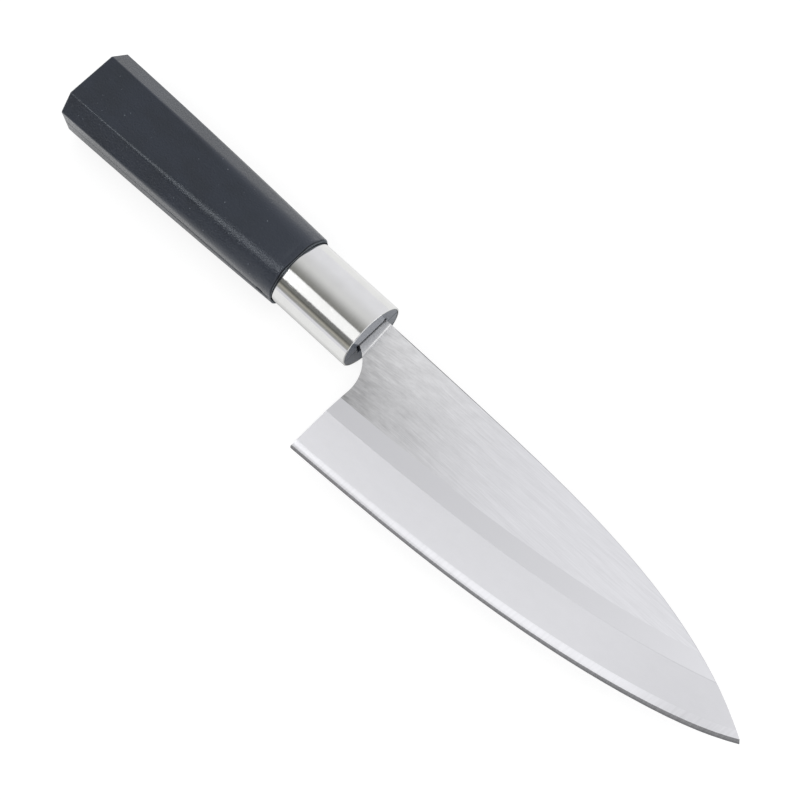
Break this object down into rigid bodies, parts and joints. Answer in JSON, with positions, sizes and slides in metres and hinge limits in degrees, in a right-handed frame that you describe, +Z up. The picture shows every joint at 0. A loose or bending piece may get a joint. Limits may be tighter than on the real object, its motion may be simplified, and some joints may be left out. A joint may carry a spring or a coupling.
{
  "type": "deba knife",
  "caption": "Heavy single-bevel fish knife: wide pointed blade with a rounded heel notch, oval steel ferrule and octagonal moulded handle.",
  "frame": {"origin": "centre of the knife's outline on the surface it lies on, at the left side of the handle", "axes": "+X along the knife towards the tip, +Y across it towards the spine, +Z up out of the bevelled right face"},
  "size_m": [0.305, 0.0591, 0.0238],
  "materials": {
    "blade_steel": "satin, brushed along the blade above the bevel",
    "ferrule_steel": "polished with a fine turned grain",
    "handle_plastic": "fine moulded texture, low sheen",
    "bond_resin": "cured resin"
  },
  "bodies": {
    "root": {"blade": "blade_steel", "ferrule": "ferrule_steel", "handle_right": "handle_plastic", "handle_left": "handle_plastic", "tang_bond": "bond_resin"}
  },
  "joints": []
}
